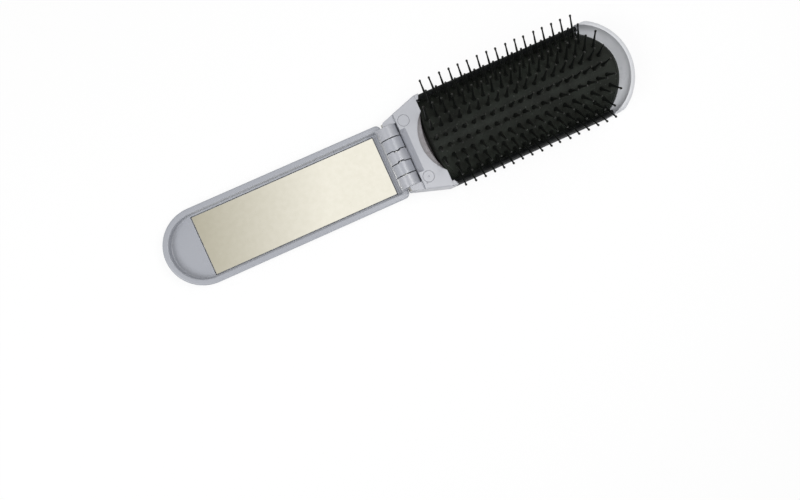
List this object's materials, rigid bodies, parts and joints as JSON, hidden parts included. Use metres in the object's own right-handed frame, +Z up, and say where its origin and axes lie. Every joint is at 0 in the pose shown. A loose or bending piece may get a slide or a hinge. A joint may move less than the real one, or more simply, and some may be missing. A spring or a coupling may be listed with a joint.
{
  "type": "folding hairbrush with mirror",
  "caption": "Pocket hairbrush: a round-ended head with a pinned arched pad, and a mirror tray hinged to its neck that folds over the bristles as a cover.",
  "frame": {"origin": "on the surface that the open brush lies on, below the middle of the hinge axis", "axes": "+X towards the brush's tip, the mirror cover on -X; +Y across, along the hinge axis; +Z up, out of the bristle side"},
  "size_m": [0.241, 0.0552, 0.0348],
  "materials": {
    "white_shell": "injection-moulded, soft gloss, cool white",
    "black_grip": "moulded, satin black",
    "bristle_pad": "moulded with its pins, satin black",
    "mirror_glass": "silvered float glass, seamed edge",
    "hinge_steel": "drawn wire, cut ends",
    "tape": "double-sided adhesive foam"
  },
  "bodies": {
    "base": {"base_shell": "white_shell", "neck_plate": "white_shell", "neck_peg_left": "white_shell", "neck_peg_right": "white_shell", "hinge_pin": "hinge_steel", "side_rail_left": "black_grip", "side_rail_right": "black_grip", "pad_neck_skirt": "bristle_pad", "pad_tip_skirt": "bristle_pad"},
    "cover": {"mirror_cover": "white_shell", "mirror": "mirror_glass", "mirror_tape": "tape"},
    "pad_centre": {"pad_strip_centre": "bristle_pad"},
    "pad_left_1": {"pad_strip_left_1": "bristle_pad"},
    "pad_left_2": {"pad_strip_left_2": "bristle_pad"},
    "pad_left_3": {"pad_strip_left_3": "bristle_pad"},
    "pad_left_4": {"pad_strip_left_4": "bristle_pad"},
    "pad_right_1": {"pad_strip_right_1": "bristle_pad"},
    "pad_right_2": {"pad_strip_right_2": "bristle_pad"},
    "pad_right_3": {"pad_strip_right_3": "bristle_pad"},
    "pad_right_4": {"pad_strip_right_4": "bristle_pad"}
  },
  "joints": [
    {"name": "cover_fold", "type": "hinge", "parent": "base", "child": "cover", "pos_m": [0, 0, 0.013], "axis": [0, 1, 0], "range_deg": [0, 180]},
    {"name": "pad_drop", "type": "slide", "parent": "base", "child": "pad_centre", "axis": [0, 0, -1], "range_m": [0, 0.01642]},
    {"name": "pad_crease_left_1", "type": "hinge", "parent": "pad_centre", "child": "pad_left_1", "pos_m": [0.062, 0.00248, 0.02071], "axis": [1, 0, 0], "range_deg": [0, 20.01]},
    {"name": "pad_crease_left_2", "type": "hinge", "parent": "pad_left_1", "child": "pad_left_2", "pos_m": [0.062, 0.00735, 0.01985], "axis": [1, 0, 0], "range_deg": [0, 20.01]},
    {"name": "pad_crease_left_3", "type": "hinge", "parent": "pad_left_2", "child": "pad_left_3", "pos_m": [0.062, 0.012, 0.01816], "axis": [1, 0, 0], "range_deg": [0, 20.01]},
    {"name": "pad_crease_left_4", "type": "hinge", "parent": "pad_left_3", "child": "pad_left_4", "pos_m": [0.062, 0.01629, 0.01568], "axis": [1, 0, 0], "range_deg": [0, 20.01]},
    {"name": "pad_crease_right_1", "type": "hinge", "parent": "pad_centre", "child": "pad_right_1", "pos_m": [0.062, -0.00248, 0.02071], "axis": [-1, 0, 0], "range_deg": [0, 20.01]},
    {"name": "pad_crease_right_2", "type": "hinge", "parent": "pad_right_1", "child": "pad_right_2", "pos_m": [0.062, -0.00735, 0.01985], "axis": [-1, 0, 0], "range_deg": [0, 20.01]},
    {"name": "pad_crease_right_3", "type": "hinge", "parent": "pad_right_2", "child": "pad_right_3", "pos_m": [0.062, -0.012, 0.01816], "axis": [-1, 0, 0], "range_deg": [0, 20.01]},
    {"name": "pad_crease_right_4", "type": "hinge", "parent": "pad_right_3", "child": "pad_right_4", "pos_m": [0.062, -0.01629, 0.01568], "axis": [-1, 0, 0], "range_deg": [0, 20.01]}
  ],
  "couplings": [
    {"joint": "pad_drop", "follows": "cover_fold", "m_per_rad": 0.0052262},
    {"joint": "pad_crease_left_1", "follows": "cover_fold", "ratio": 0.11111},
    {"joint": "pad_crease_left_2", "follows": "cover_fold", "ratio": 0.11111},
    {"joint": "pad_crease_left_3", "follows": "cover_fold", "ratio": 0.11111},
    {"joint": "pad_crease_left_4", "follows": "cover_fold", "ratio": 0.11111},
    {"joint": "pad_crease_right_1", "follows": "cover_fold", "ratio": 0.11111},
    {"joint": "pad_crease_right_2", "follows": "cover_fold", "ratio": 0.11111},
    {"joint": "pad_crease_right_3", "follows": "cover_fold", "ratio": 0.11111},
    {"joint": "pad_crease_right_4", "follows": "cover_fold", "ratio": 0.11111}
  ]
}
